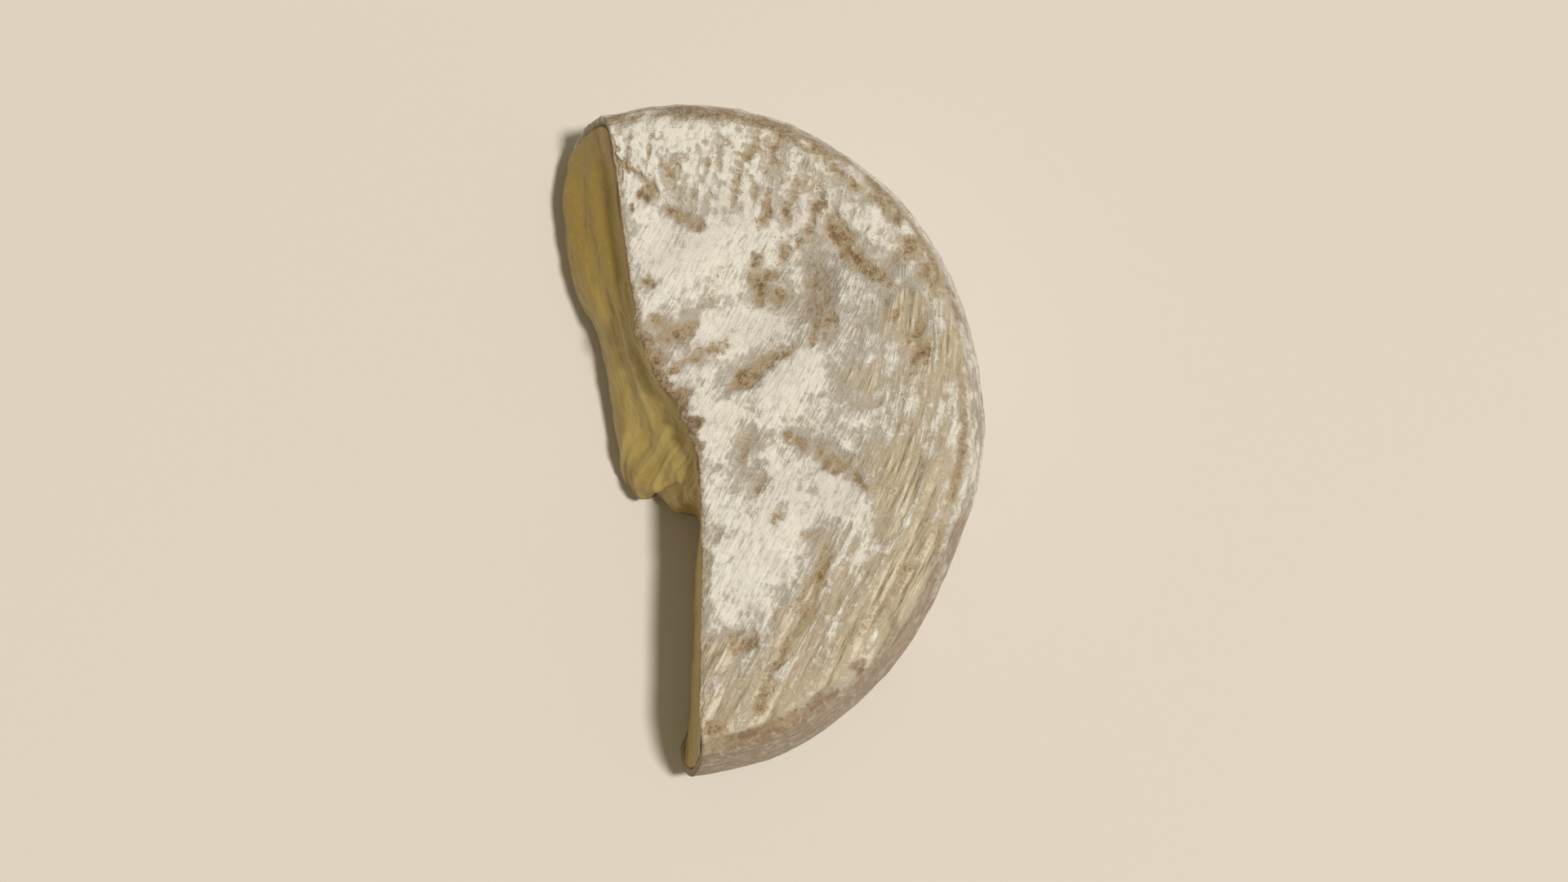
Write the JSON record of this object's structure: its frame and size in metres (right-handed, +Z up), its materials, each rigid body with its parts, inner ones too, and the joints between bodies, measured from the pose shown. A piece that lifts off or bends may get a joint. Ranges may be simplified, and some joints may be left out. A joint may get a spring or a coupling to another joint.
{
  "type": "cheese half wheel",
  "caption": "Half of a small soft-ripened cheese wheel with a bloomy white mould rind, cut side to side, its ripe yellow paste bulging at the cut.",
  "frame": {"origin": "where the axis of the whole wheel meets the surface that the cheese rests on", "axes": "+Z up through the thickness; the cut runs along Y and faces -X; the round flank faces +X"},
  "size_m": [0.0706, 0.1117, 0.0289],
  "materials": {
    "rind": "matte",
    "paste": "satin"
  },
  "bodies": {
    "root": {"cheese_half": "rind"}
  },
  "joints": []
}
